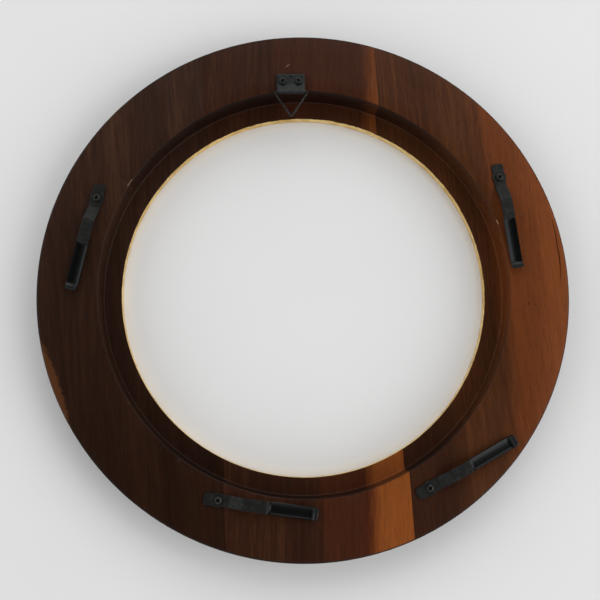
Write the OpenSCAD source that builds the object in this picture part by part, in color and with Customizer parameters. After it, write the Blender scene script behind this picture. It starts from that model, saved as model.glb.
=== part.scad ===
// Round wooden plate frame, lying face down, seen from its back.
// The ring's axis is Z. The front rests on Z = 0 and the back looks along +Z.
// The hanger is at +Y. Sizes are in millimetres and angles in degrees.

/* [Wooden ring] */
// Diameter of the recess that takes the plate, cut from the back
recess_d = 222; // [185:1:270]
// Depth of the recess, from the back face to its floor
recess_depth = 15.5; // [12:0.5:20]
// Width of the back face, from the recess to the outside
rim_w = 32.5; // [27:0.5:40]
// Width of the lip that the plate rests on
lip_w = 10; // [8.5:0.5:12]
// Thickness of the lip, from its floor down to the front plane
lip_t = 6.5; // [5.5:0.25:8]
// Width of the middle board, which the glue joints border
board_w = 97.2; // [80:0.2:115]
// Distance of the middle board's centre line from the ring's axis
board_shift = -1.1; // [-4:0.1:4]
// Turn of the middle board from square to the hanger
board_turn = -0.5; // [-3:0.1:3]

/* [Front moulding] */
// Width of the round bead at the sight edge
bead_w = 4.5; // [4:0.25:5.5]
// Corner radius of the bead
bead_r = 1.6; // [1.2:0.1:2]
// Width of the small flat between the bead and the hollow
flat_w = 0.8; // [0.6:0.1:1.2]
// Width of the hollow between that flat and the front band
cove_w = 22; // [18:0.5:26]
// Depth of the hollow at its middle
cove_depth = 4.2; // [3.5:0.1:5]
// Corner radius of the outside edge at the front
front_r = 8; // [6.5:0.25:10]
// Corner radius of the outside edge at the back
back_r = 1.5; // [1.2:0.1:2]
// Corner radius where the recess meets its floor
fillet_r = 1; // [0.8:0.1:1.4]
// Thickness of the gesso and gold coat on the bead
coat_t = 0.6; // [0.5:0.05:0.8]

/* [Spring clips] */
// Thickness of the clips' spring steel
clip_t = 0.8; // [0.6:0.05:1]
// Width of a clip's strap
clip_w = 6.4; // [5.5:0.1:7.5]
// Diameter of the round boss at a clip's screw
boss_d = 7.6; // [6.8:0.1:9]
// Length of a clip's flat tail, behind its screw
tail_l = 7.6; // [6.3:0.1:9.2]
// Distance from the screw to where the strap starts to rise
ramp_start = 5.5; // [5:0.25:6.5]
// Distance from the screw to the start of the raised flat
flat_start = 13; // [11:0.25:15.5]
// Distances from the screw to the end of the raised flat, on the four clips in turn
flat_ends = [25.3, 23.2, 25.3, 23.2]; // [19:0.1:30]
// Height of the raised flat's middle line over the wood
flat_h = 4.6; // [3.8:0.1:5.5]
// Drop of the step that ends the raised flat
step_h = 0.9; // [0.75:0.05:1.1]
// Distance from the screw to the foot, where the tip turns up
foot_at = 47.8; // [40:0.25:57]
// Height of the foot's middle line over the wood
foot_h = 1.7; // [1.4:0.1:2]
// Radius of the turned-up tip's middle line
curl_r = 4.2; // [3.4:0.1:5]
// Azimuths of the clips' screws: upper left, upper right, lower left, lower right
clip_azimuths = [152.6, 25.9, 243.6, 297.2]; // [0:0.1:359.9]
// Distances of the four screws from the recess edge
clip_insets = [12, 12.8, 9.1, 12.6]; // [8:0.1:14]
// Directions of the four clips, from screw to tip
clip_headings = [252.6, 274.7, 347.7, 24.4]; // [0:0.1:359.9]

/* [Screws] */
// Shank diameter of all screws
shank_d = 2.5; // [2.1:0.1:3]
// Head diameter of all screws
head_d = 4.1; // [3.6:0.1:5]
// Head height of all screws
head_h = 1.6; // [1.4:0.1:1.9]
// Radius of the rounded rim on top of all screws' heads
head_round = 0.9; // [0.7:0.1:1.1]
// Depth that a screw reaches into the wood
screw_depth = 9; // [7.5:0.25:10.5]

/* [Hanger] */
// Diameter of the hanging ring's wire
wire_d = 1.2; // [1:0.05:1.4]
// Distance from the barrel's axis inwards to the recess edge
hanger_inset = -0.5; // [-0.6:0.05:2]
// Turn of the whole hanger from square, round the middle of its barrel
hanger_turn = -3.1; // [-6:0.1:6]
// Thickness of the strap that is folded round the wire
strap_t = 0.75; // [0.6:0.05:0.9]
// Width of the strap
strap_w = 15.6; // [13.5:0.1:18.5]
// Length of the strap, from the barrel's axis to its outer end
strap_l = 10.1; // [9:0.1:12]
// Distance between the strap's two screws
strap_pitch = 8.8; // [7.5:0.1:9.5]
// Distance from the barrel's axis to the strap's screws
strap_screw_y = 6; // [5.6:0.1:7]
// Gap between the strap's sides and the start of the ring's bends
ring_side_gap = 0.2; // [0.15:0.05:0.5]
// Length of the triangular ring, from the barrel's axis to its tip
ring_l = 13.5; // [12:0.1:16]
// Bend radius of the ring's corners
ring_bend_r = 0.9; // [0.8:0.05:1.2]
// Angle that the ring's tip hangs below the back face
ring_droop = 6; // [0:1:40]

/* [Hidden] */
$fn = 96;

// Running clearance of a hole round its pin, measured on the radius
run_gap = 0.08;
// Play of a clip under its screw's head, and of the clip over the wood
clip_play = 0.1;
// Length by which a cutter passes the face that it cuts
past = 1;
// Depth and width of the cross in a screw's head
cross_depth = 1;
cross_w = 0.6;
cross_l = 2.2;
// Length of the cone at a screw's end, and the diameter of its blunt tip
screw_point = 2.5;
point_d = 0.6;
// Turn of each clip screw's cross from its clip, and of the two strap screws'
clip_cross_turns = [5, 25, 40, 20];
strap_cross_turns = [15, 75];
// Corner radii in the clips' and the strap's plan
clip_corner_r = 1.2;
strap_corner_r = 0.8;
// Radius of the round notch in the strap's upper leaf, near its outer end, and its inset
dimple_r = 0.7;
dimple_inset = 1.5;
// Length of straight wire inside each bend, and how much thicker a bend is, on the radius
bend_grip = 0.05;
bend_swell = 0.01;
// Angle that the clips' tips turn through
curl_angle = 65;
// Number of straight pieces in a clip's curled tip
curl_steps = 6;

recess_r = recess_d / 2;
sight_r = recess_r - lip_w;
outer_r = recess_r + rim_w;
back_z = recess_depth + lip_t;
// The hollow's arc has its ends on the front plane
cove_r = (cove_w * cove_w / 4 + cove_depth * cove_depth) / (2 * cove_depth);
bead_end = sight_r + bead_w;
cove_middle = bead_end + flat_w + cove_w / 2;
// Height at which the bead's groove ends, in the lip
groove_top = lip_t / 2;
// Size of a square that covers the section of the whole ring
reach = outer_r + back_z;

clip_underside = back_z + clip_play;
clip_top = clip_underside + clip_t;
tip_end = foot_at + curl_r * sin(curl_angle);

barrel_r = wire_d / 2 + run_gap + strap_t;
barrel_y = recess_r + hanger_inset;
barrel_z = back_z + barrel_r;
strap_top = back_z + 2 * strap_t;

function polar(r, angle) = [r * cos(angle), r * sin(angle), 0];
function clip_place(i) = polar(recess_r + clip_insets[i], clip_azimuths[i]);
// A point of the hanger, given from the middle of its barrel, with the hanger's turn
function hanger_place(x, y) = [x * cos(hanger_turn) - y * sin(hanger_turn),
    barrel_y + x * sin(hanger_turn) + y * cos(hanger_turn), 0];
function hanger_screw_place(side) = hanger_place(side * strap_pitch / 2, strap_screw_y);

// Unit vector from a to b, and the same turned a quarter to the left
function unit(a, b) = (b - a) / norm(b - a);
function left(v) = [-v[1], v[0]];

// Offset of corner i of an open line, so that both its straight pieces keep their distance
function corner_shift(line, i, d) =
    let (last = len(line) - 1)
    let (before = unit(line[max(i - 1, 0)], line[max(i, 1)]))
    let (after = unit(line[min(i, last - 1)], line[min(i + 1, last)]))
    let (bisector = left(before) + left(after))
    line[i] + d * 2 * bisector / (bisector * bisector);

// Flat strip of thickness t along an open line
module strip(line, t) {
    count = len(line);
    upper = [for (i = [0:count - 1]) corner_shift(line, i, t / 2)];
    lower = [for (i = [0:count - 1]) corner_shift(line, count - 1 - i, -t / 2)];
    polygon(concat(upper, lower));
}

// What a square corner loses when it is rounded: the corner is at the origin, the solid in -X -Y.
// The circle starts on the side that isn't used, so that the rounding is one clean face.
module corner_waste(r) {
    difference() {
        translate([-r, -r]) square(r + past);
        translate([-r, -r]) rotate(225) circle(r);
    }
}

// Rectangle with its four corners rounded
module round_rect(x0, y0, x1, y1, r) {
    difference() {
        translate([x0, y0]) square([x1 - x0, y1 - y0]);
        translate([x1, y1]) corner_waste(r);
        translate([x0, y1]) mirror([1, 0]) corner_waste(r);
        translate([x1, y0]) mirror([0, 1]) corner_waste(r);
        translate([x0, y0]) rotate(180) corner_waste(r);
    }
}

// ---- wooden ring ----

// Section of the whole bead at the sight edge, with its coat
module bead_section() {
    difference() {
        translate([sight_r, 0]) square([bead_w, lip_t]);
        translate([sight_r, 0]) rotate(180) corner_waste(bead_r);
        translate([bead_end, 0]) mirror([0, 1]) corner_waste(bead_r);
    }
}

// Section of the bead's wood, under the coat, with its two front corners cut flat
module bead_core_section() {
    core_r = sight_r + coat_t;
    core_end = bead_end - coat_t;
    polygon([[core_r, lip_t], [core_r, bead_r], [core_r + bead_r - coat_t, coat_t],
        [core_end - bead_r + coat_t, coat_t], [core_end, bead_r], [core_end, lip_t]]);
}

// Section of the wood outside the bead
module body_section() {
    difference() {
        translate([bead_end - bead_r, 0]) square([outer_r - bead_end + bead_r, back_z]);
        translate([0, lip_t]) square([recess_r, reach]);
        translate([cove_middle, cove_depth - cove_r]) circle(cove_r);
        // the bead and its groove take the place of the inner front corner
        translate([0, -past]) square([bead_end, past + groove_top]);
        translate([outer_r, back_z]) corner_waste(back_r);
        translate([outer_r, 0]) mirror([0, 1]) corner_waste(front_r);
    }
    // the fillet in the recess's corner
    difference() {
        translate([recess_r - fillet_r, lip_t]) square(fillet_r);
        translate([recess_r - fillet_r, lip_t + fillet_r]) rotate(135) circle(fillet_r);
    }
}

module screw_holes() {
    for (i = [0:3]) translate(clip_place(i)) screw_shaft(clip_top + clip_play);
    for (side = [-1, 1]) translate(hanger_screw_place(side)) screw_shaft(strap_top);
}

module turned_ring() {
    difference() {
        rotate_extrude($fn = 360) {
            bead_core_section();
            body_section();
        }
        screw_holes();
    }
}

// The part of the turned ring between two upright planes, on one side of the X axis or on both.
// The planes are given from the middle board's centre line.
module board(x0, x1, y0, y1) {
    color("#5b3422") intersection() {
        turned_ring();
        rotate(board_turn) translate([board_shift + x0, y0, -past])
            cube([x1 - x0, y1 - y0, back_z + 2 * past]);
    }
}

module board_left() { board(-reach, -board_w / 2, -reach, reach); }
module board_right() { board(board_w / 2, reach, -reach, reach); }
module board_top() { board(-board_w / 2, board_w / 2, 0, reach); }
module board_bottom() { board(-board_w / 2, board_w / 2, -reach, 0); }

module sight_gilding() {
    color("#d8b25a") rotate_extrude($fn = 360) difference() {
        bead_section();
        bead_core_section();
        // the coat stops at the bottom of the bead's groove
        translate([bead_end - coat_t, groove_top]) square([coat_t + past, lip_t]);
    }
}

// ---- screws ----

// Shank and point, from the head's underside down into the wood
module screw_shaft(head_z) {
    cone_top = back_z - screw_depth + screw_point;
    translate([0, 0, cone_top]) cylinder(d = shank_d, h = head_z - cone_top);
    translate([0, 0, cone_top - screw_point]) cylinder(d1 = point_d, d2 = shank_d, h = screw_point);
}

// Pan head with a cross, and its shank
module screw(head_z) {
    color("#26262a") difference() {
        union() {
            screw_shaft(head_z);
            translate([0, 0, head_z]) cylinder(d = head_d, h = head_h);
        }
        translate([0, 0, head_z]) rotate_extrude()
            translate([head_d / 2, head_h]) corner_waste(head_round);
        for (turn = [0, 90]) rotate(turn)
            translate([-cross_l / 2, -cross_w / 2, head_z + head_h - cross_depth])
                cube([cross_l, cross_w, cross_depth + past]);
    }
}

module clip_screw(i) {
    translate(clip_place(i)) rotate(clip_headings[i] + clip_cross_turns[i]) screw(clip_top + clip_play);
}

module hanger_screw(side) {
    translate(hanger_screw_place(side)) rotate(hanger_turn + strap_cross_turns[(side + 1) / 2])
        screw(strap_top);
}

// ---- spring clips ----

// Middle line of clip i, seen from its side: distance from the screw, height over the wood
function clip_line(i) = concat(
    [[-tail_l, clip_play + clip_t / 2], [ramp_start, clip_play + clip_t / 2],
     [flat_start, flat_h], [flat_ends[i], flat_h], [flat_ends[i] + step_h, flat_h - step_h]],
    [for (k = [0:curl_steps])
        let (a = curl_angle * k / curl_steps)
        [foot_at + curl_r * sin(a), foot_h + curl_r * (1 - cos(a))]]);

module clip_plan() {
    round_rect(-tail_l, -clip_w / 2, tip_end + clip_t, clip_w / 2, clip_corner_r);
    circle(d = boss_d);
}

module clip(i) {
    color("#3a3b3d") translate(clip_place(i)) rotate(clip_headings[i])
        translate([0, 0, back_z]) difference() {
            intersection() {
                rotate([90, 0, 0]) translate([0, 0, -boss_d]) linear_extrude(2 * boss_d)
                    strip(clip_line(i), clip_t);
                translate([0, 0, -past]) linear_extrude(flat_h + curl_r + 2 * past) clip_plan();
            }
            translate([0, 0, -past]) cylinder(d = shank_d + 2 * run_gap, h = clip_t + 2 * past);
        }
}

// ---- hanger ----

// Folded strap seen from its side: along the strap, height over the wood
module strap_section() {
    // the upper leaf comes down from the barrel to the lower leaf over this length
    fold_end = 2 * barrel_r;
    difference() {
        union() {
            translate([0, barrel_r]) circle(barrel_r);
            square([strap_l, 2 * strap_t]);
            polygon([[0, 2 * barrel_r], [0, 0], [fold_end, 0], [fold_end, 2 * strap_t]]);
        }
        translate([0, barrel_r]) circle(wire_d / 2 + run_gap);
    }
}

module hanger_strap() {
    color("#3b3d3e") difference() {
        translate([0, barrel_y, 0]) rotate(hanger_turn) difference() {
            intersection() {
                translate([strap_w / 2, 0, back_z]) rotate([90, 0, -90]) mirror([1, 0, 0])
                    linear_extrude(strap_w) strap_section();
                translate([0, 0, back_z - past]) linear_extrude(2 * barrel_r + 2 * past)
                    round_rect(-strap_w / 2, -2 * barrel_r, strap_w / 2, strap_l, strap_corner_r);
            }
            translate([0, strap_l - dimple_inset, strap_top - strap_t / 2])
                cylinder(r = dimple_r, h = strap_t);
        }
        for (side = [-1, 1]) translate(hanger_screw_place(side))
            cylinder(d = shank_d, h = strap_top + past);
    }
}

// One straight piece of wire from a to b, both in the ring's plane, with its ends inside the bends
module wire(a, b) {
    along = b - a;
    translate([a[0], a[1], 0]) rotate([0, 90, atan2(along[1], along[0])]) translate([0, 0, -bend_grip])
        cylinder(d = wire_d, h = norm(along) + 2 * bend_grip);
}

// One bend of the wire round centre c, from angle a0 through sweep
module wire_bend(c, a0, sweep) {
    translate([c[0], c[1], 0]) rotate(a0) rotate_extrude(angle = sweep)
        translate([ring_bend_r, 0]) circle(d = wire_d + 2 * bend_swell);
}

// Triangle of wire in the XY plane: its base lies on the X axis and its tip points along -Y
module ring_triangle() {
    corner = [strap_w / 2 + ring_side_gap, -ring_bend_r];
    tip = [0, -ring_l + ring_bend_r];
    // angle of the sides from the base, and the side's outward direction
    side = atan2(corner[1] - tip[1], corner[0]);
    out = [sin(side), -cos(side)];
    wire([-corner[0], 0], [corner[0], 0]);
    for (flip = [0, 1]) mirror([flip, 0, 0]) {
        wire(corner + ring_bend_r * out, tip + ring_bend_r * out);
        wire_bend(corner, side - 90, 180 - side);
    }
    wire_bend(tip, 270 - side, 2 * side);
}

module hanger_ring() {
    color("#54565a") translate([0, barrel_y, barrel_z]) rotate(hanger_turn)
        rotate([ring_droop, 0, 0]) ring_triangle();
}

module clip_upper_left() { clip(0); }
module clip_upper_right() { clip(1); }
module clip_lower_left() { clip(2); }
module clip_lower_right() { clip(3); }
module clip_screw_upper_left() { clip_screw(0); }
module clip_screw_upper_right() { clip_screw(1); }
module clip_screw_lower_left() { clip_screw(2); }
module clip_screw_lower_right() { clip_screw(3); }
module hanger_screw_left() { hanger_screw(-1); }
module hanger_screw_right() { hanger_screw(1); }

board_left();
board_top();
board_right();
board_bottom();
sight_gilding();
clip_upper_left();
clip_upper_right();
clip_lower_left();
clip_lower_right();
clip_screw_upper_left();
clip_screw_upper_right();
clip_screw_lower_left();
clip_screw_lower_right();
hanger_strap();
hanger_screw_left();
hanger_screw_right();
hanger_ring();
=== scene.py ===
"""Round walnut frame for a collector plate, lying face down and seen from its back.

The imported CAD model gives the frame: metres, the ring's axis on Z, the front on Z = 0 and the
hanger at +Y. Each sub-assembly is a class with its sizes in millimetres, and each finish is a
frozen dataclass that builds one procedural material.
"""
import logging
import math
import random
from collections.abc import Callable, Sequence
from dataclasses import dataclass, field
from enum import Enum

import bmesh
import bpy
from mathutils import Matrix, Vector


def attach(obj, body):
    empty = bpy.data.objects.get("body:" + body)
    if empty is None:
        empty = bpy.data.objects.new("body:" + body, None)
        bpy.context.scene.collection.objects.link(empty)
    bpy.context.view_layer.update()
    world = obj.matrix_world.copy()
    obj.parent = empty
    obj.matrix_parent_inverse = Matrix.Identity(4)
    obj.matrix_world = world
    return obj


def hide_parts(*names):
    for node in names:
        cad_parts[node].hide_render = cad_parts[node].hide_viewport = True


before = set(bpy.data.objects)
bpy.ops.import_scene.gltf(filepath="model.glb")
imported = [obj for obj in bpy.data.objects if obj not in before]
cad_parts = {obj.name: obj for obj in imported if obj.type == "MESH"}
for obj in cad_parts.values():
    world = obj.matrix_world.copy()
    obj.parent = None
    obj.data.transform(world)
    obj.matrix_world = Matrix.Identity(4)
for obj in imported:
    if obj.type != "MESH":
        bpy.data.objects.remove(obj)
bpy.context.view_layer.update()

LOG = logging.getLogger("plate_frame")

MM = 0.001
MERGE = 1e-6
# Longest spin in steps: a longer one is slow, so its sector is copied round instead
MOST_SPUN = 64
PIN_SIDES = 32
# Sheet metal's edges are rounded where its faces meet at more than this, in degrees
SHARP_ANGLE = 50

Point = tuple[float, float]
Colour = tuple[float, float, float, float]
Piece = bpy.types.Object
Socket = bpy.types.NodeSocket
Material = bpy.types.Material


# ---- bench: small helpers round Blender's own modelling operators ----


def linear(hex_code: str) -> Colour:
    """Turns an sRGB hex colour into a linear one.

    Args:
        hex_code: six hex digits, such as "6b3a1f".

    Returns:
        The linear red, green, blue and an alpha of 1.
    """
    parts = [int(hex_code[i:i + 2], 16) / 255 for i in (0, 2, 4)]
    toe, slope, offset, gamma = 0.04045, 12.92, 0.055, 2.4
    lin = [c / slope if c <= toe else ((c + offset) / (1 + offset)) ** gamma for c in parts]
    return (lin[0], lin[1], lin[2], 1.0)


def per_metre(size_mm: float) -> float:
    """Returns the texture scale at which a pattern's cells have this size in millimetres."""
    return 1 / (size_mm * MM)


def clear_selection() -> None:
    """Leaves edit mode and deselects every object."""
    if bpy.context.object and bpy.context.object.mode != "OBJECT":
        bpy.ops.object.mode_set(mode="OBJECT")
    bpy.ops.object.select_all(action="DESELECT")


def take(piece: Piece) -> Piece:
    """Makes a piece the only selected and the active object, and returns it."""
    clear_selection()
    piece.select_set(True)
    bpy.context.view_layer.objects.active = piece
    return piece


def edit(piece: Piece) -> None:
    """Opens a piece in edit mode, with vertices picked one by one and nothing selected."""
    take(piece)
    bpy.ops.object.mode_set(mode="EDIT")
    bpy.ops.mesh.select_mode(type="VERT")
    bpy.ops.mesh.select_all(action="DESELECT")


def pick(piece: Piece, test: Callable[[Vector], bool]) -> int:
    """Selects, in edit mode, just the vertices whose place passes a test.

    Args:
        piece: the object that is open in edit mode.
        test: takes a vertex's place in metres and says whether it is wanted.

    Returns:
        How many vertices were selected.
    """
    bpy.ops.mesh.select_all(action="DESELECT")
    mesh = bmesh.from_edit_mesh(piece.data)
    count = 0
    for vertex in mesh.verts:
        if test(vertex.co):
            vertex.select = True
            count += 1
    mesh.select_flush_mode()
    bmesh.update_edit_mesh(piece.data)
    return count


def pick_all() -> None:
    """Selects, in edit mode, all of the open piece."""
    bpy.ops.mesh.select_all(action="SELECT")


def draw_point(step: Vector) -> None:
    """Extrudes the selected vertex into an edge, by a step in metres."""
    bpy.ops.mesh.extrude_vertices_move(TRANSFORM_OT_translate={"value": step})


def draw_edge(step: Vector) -> None:
    """Extrudes the selected edges or faces by a step in metres."""
    bpy.ops.mesh.extrude_region_move(TRANSFORM_OT_translate={"value": step})


def settle() -> None:
    """Keeps the active object's place, turn and scale in its mesh."""
    bpy.ops.object.transform_apply(location=True, rotation=True, scale=True)


def close_up(piece: Piece) -> None:
    """Merges doubles and turns all faces outwards, in edit mode, then leaves it."""
    pick_all()
    bpy.ops.mesh.remove_doubles(threshold=MERGE)
    bpy.ops.mesh.normals_make_consistent(inside=False)
    bpy.ops.object.mode_set(mode="OBJECT")


def smooth(piece: Piece, angle: float = 32.0) -> None:
    """Shades a piece smooth, but for edges sharper than an angle in degrees."""
    take(piece)
    bpy.ops.object.shade_smooth_by_angle(angle=math.radians(angle))


def start_vertex(name: str, place: Vector) -> Piece:
    """Adds a small plane and leaves just one of its vertices, selected, in edit mode.

    Args:
        name: the new object's name.
        place: where the vertex goes, in metres.

    Returns:
        The new object, open in edit mode.
    """
    clear_selection()
    bpy.ops.mesh.primitive_plane_add(size=MM, location=(0, 0, 0))
    piece = bpy.context.object
    piece.name = name
    piece.data.name = name
    edit(piece)
    pick(piece, lambda co: not (co.x > 0 and co.y > 0))
    bpy.ops.mesh.delete(type="VERT")
    pick_all()
    start = Vector((MM / 2, MM / 2, 0))
    bpy.ops.transform.translate(value=place - start)
    return piece


def lathe(name: str, outline: Sequence[Point], steps: int, closed: bool) -> Piece:
    """Draws an outline vertex by vertex and turns it round Z, as on a lathe.

    Args:
        name: the new object's name.
        outline: radius and height of each point, in millimetres.
        steps: number of straight pieces round the circle.
        closed: whether the outline's last point joins its first.

    Returns:
        The turned object, in object mode.
    """
    places = [Vector((r, 0, z)) * MM for r, z in outline]
    piece = start_vertex(name, places[0])
    for before, after in zip(places, places[1:]):
        draw_point(after - before)
    if closed:
        ends = (places[0], places[-1])
        pick(piece, lambda co: any((co - end).length < MERGE for end in ends))
        bpy.ops.mesh.edge_face_add()
    pick_all()
    doublings = 0
    while steps % 2 == 0 and steps > MOST_SPUN:
        steps //= 2
        doublings += 1
    sector = 2 * math.pi / 2 ** doublings
    bpy.ops.mesh.spin(steps=steps, angle=sector, center=(0, 0, 0), axis=(0, 0, 1))
    for _ in range(doublings):
        pick_all()
        bpy.ops.mesh.duplicate()
        bpy.ops.transform.rotate(value=sector, orient_axis="Z", center_override=(0, 0, 0))
        sector *= 2
    close_up(piece)
    return piece


def arc(centre: Point, radius: float, first: float, last: float, count: int) -> list[Point]:
    """Gives points on an arc, both ends included.

    Args:
        centre: the arc's centre, in millimetres.
        radius: its radius, in millimetres.
        first: its first angle, in degrees.
        last: its last angle, in degrees.
        count: number of straight pieces.

    Returns:
        The points in order.
    """
    angles = [math.radians(first + (last - first) * i / count) for i in range(count + 1)]
    return [(centre[0] + radius * math.cos(a), centre[1] + radius * math.sin(a)) for a in angles]


def rounded_line(corners: Sequence[Point], radii: Sequence[float], pieces: int) -> list[Point]:
    """Rounds the inner corners of an open line, as bent sheet metal has them.

    Args:
        corners: the line's corners, in millimetres.
        radii: the bend radius at each inner corner.
        pieces: number of straight pieces in each bend.

    Returns:
        The line's points, with each bend drawn as an arc.
    """
    line = [corners[0]]
    for i, radius in enumerate(radii, start=1):
        before, corner, after = (Vector(corners[i + k]) for k in (-1, 0, 1))
        inward = (before - corner).normalized()
        onward = (after - corner).normalized()
        half = inward.angle(onward) / 2
        reach = radius / math.tan(half)
        middle = corner + (inward + onward).normalized() * radius / math.sin(half)
        start = corner + inward * reach - middle
        turn = (corner + onward * reach - middle).angle_signed(start)
        for k in range(pieces + 1):
            a = turn * k / pieces
            x = start.x * math.cos(a) - start.y * math.sin(a)
            y = start.x * math.sin(a) + start.y * math.cos(a)
            line.append((middle.x + x, middle.y + y))
    line.append(corners[-1])
    return line


def finer(line: Sequence[Point], longest: float) -> list[Point]:
    """Splits the long straight pieces of a line so that none is longer than a length."""
    out = [line[0]]
    for (x0, y0), (x1, y1) in zip(line, line[1:]):
        count = max(1, math.ceil(math.hypot(x1 - x0, y1 - y0) / longest))
        for k in range(1, count + 1):
            out.append((x0 + (x1 - x0) * k / count, y0 + (y1 - y0) * k / count))
    return out


def bend_sheet(name: str, line: Sequence[Point], width: float, columns: int) -> Piece:
    """Draws a sheet-metal strip by extruding its end edge along a line in XZ.

    Args:
        name: the new object's name.
        line: the strip's middle line: distance along X and height, in millimetres.
        width: the strip's width along Y, in millimetres.
        columns: number of faces across the strip.

    Returns:
        The open sheet, in object mode, without its thickness.
    """
    piece = start_vertex(name, Vector((line[0][0], -width / 2, line[0][1])) * MM)
    for _ in range(columns):
        draw_point(Vector((0, width / columns, 0)) * MM)
    pick_all()
    for (x0, z0), (x1, z1) in zip(line, line[1:]):
        draw_edge(Vector((x1 - x0, 0, z1 - z0)) * MM)
    close_up(piece)
    return piece


def apply_modifier(piece: Piece, kind: str, **settings: object) -> None:
    """Adds a modifier to a piece with these settings and applies it."""
    take(piece)
    modifier = piece.modifiers.new(kind.title(), kind)
    for key, value in settings.items():
        setattr(modifier, key, value)
    bpy.ops.object.modifier_apply(modifier=modifier.name)


def cut(piece: Piece, cutter: Piece) -> None:
    """Cuts one solid out of another and deletes the cutter."""
    apply_modifier(piece, "BOOLEAN", operation="DIFFERENCE", solver="EXACT", object=cutter)
    clear_selection()
    bpy.data.objects.remove(cutter)


def copy_of(piece: Piece, name: str) -> Piece:
    """Duplicates a piece with its own mesh and gives the copy a name."""
    take(piece)
    bpy.ops.object.duplicate(linked=False)
    twin = bpy.context.object
    twin.name = name
    twin.data.name = name
    return twin


def place(piece: Piece, at: Vector, turn: float = 0.0) -> None:
    """Turns a piece round Z and moves it, and keeps both in its mesh.

    Args:
        piece: the object, modelled round the origin.
        at: where its origin goes, in metres.
        turn: its turn round Z, in degrees.
    """
    take(piece)
    piece.rotation_euler = (0, 0, math.radians(turn))
    piece.location = at
    settle()


def box_cutter(size: Vector, at: Vector, turn: float = 0.0, foot: float = 1.0) -> Piece:
    """Adds a box for cutting, with its lower end narrowed.

    Args:
        size: its sizes in millimetres.
        at: its centre in millimetres.
        turn: its turn round Z, in degrees.
        foot: the lower end's size as a share of the upper end's.

    Returns:
        The cutter.
    """
    clear_selection()
    bpy.ops.mesh.primitive_cube_add(size=MM, location=(0, 0, 0))
    piece = bpy.context.object
    edit(piece)
    pick(piece, lambda co: co.z < 0)
    bpy.ops.transform.resize(value=(foot, foot, 1), center_override=(0, 0, -MM / 2))
    bpy.ops.object.mode_set(mode="OBJECT")
    piece.scale = size
    piece.rotation_euler = (0, 0, math.radians(turn))
    piece.location = at * MM
    settle()
    return piece


def pin_cutter(radius: float, height: float, at: Vector) -> Piece:
    """Adds an upright round pin for cutting, centred at a place in millimetres."""
    clear_selection()
    bpy.ops.mesh.primitive_cylinder_add(vertices=PIN_SIDES, radius=radius * MM,
                                        depth=height * MM, location=at * MM)
    settle()
    return bpy.context.object


def thicken(piece: Piece, thickness: float, edge: float) -> None:
    """Gives an open sheet its thickness, half to each side, and rounds its edges.

    Args:
        piece: the open sheet.
        thickness: the steel's thickness, in millimetres.
        edge: how far each sharp edge is rounded, in millimetres.
    """
    apply_modifier(piece, "SOLIDIFY", thickness=thickness * MM, offset=0.0, use_even_offset=True)
    apply_modifier(piece, "BEVEL", width=edge * MM, segments=2, limit_method="ANGLE",
                   angle_limit=math.radians(SHARP_ANGLE))


def mark(piece: Piece, name: str, value: Callable[[Vector], float]) -> None:
    """Writes a number on each vertex, as an attribute that a material can read.

    Args:
        piece: the piece to write on.
        name: the attribute's name.
        value: takes a vertex's place in metres and gives its number.
    """
    layer = piece.data.attributes.new(name, "FLOAT", "POINT")
    for item, vertex in zip(layer.data, piece.data.vertices):
        item.value = value(vertex.co)


def dress(piece: Piece, material: Material, body: str,
          replaced: Sequence[str]) -> Piece:
    """Gives a finished piece its material, its body and the CAD nodes it stands for.

    Args:
        piece: the finished piece.
        material: its material.
        body: the body that it moves with.
        replaced: the CAD nodes that it replaces.

    Returns:
        The piece.
    """
    piece.data.materials.clear()
    piece.data.materials.append(material)
    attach(piece, body)
    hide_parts(*replaced)
    LOG.info("%s: %d faces on %s", piece.name, len(piece.data.polygons), body)
    return piece


# ---- finishes ----


def add(tree: bpy.types.NodeTree, kind: str, inputs: dict | None = None,
        stops: Sequence[tuple[float, str]] = (), **settings: object) -> bpy.types.Node:
    """Adds one shader node with its settings and links.

    Args:
        tree: the material's node tree.
        kind: the node's type, without "ShaderNode".
        inputs: socket name or number, and the value or the output that goes into it.
        stops: a colour ramp's places and hex colours.
        **settings: the node's own properties.

    Returns:
        The node.
    """
    node = tree.nodes.new("ShaderNode" + kind)
    for key, value in settings.items():
        setattr(node, key, value)
    if stops:
        ramp = node.color_ramp
        while len(ramp.elements) < len(stops):
            ramp.elements.new(1.0)
        for element, (position, hex_code) in zip(ramp.elements, stops):
            element.position = position
            element.color = linear(hex_code)
    for key, value in (inputs or {}).items():
        if isinstance(value, Socket):
            tree.links.new(value, node.inputs[key])
        else:
            node.inputs[key].default_value = value
    return node


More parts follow.
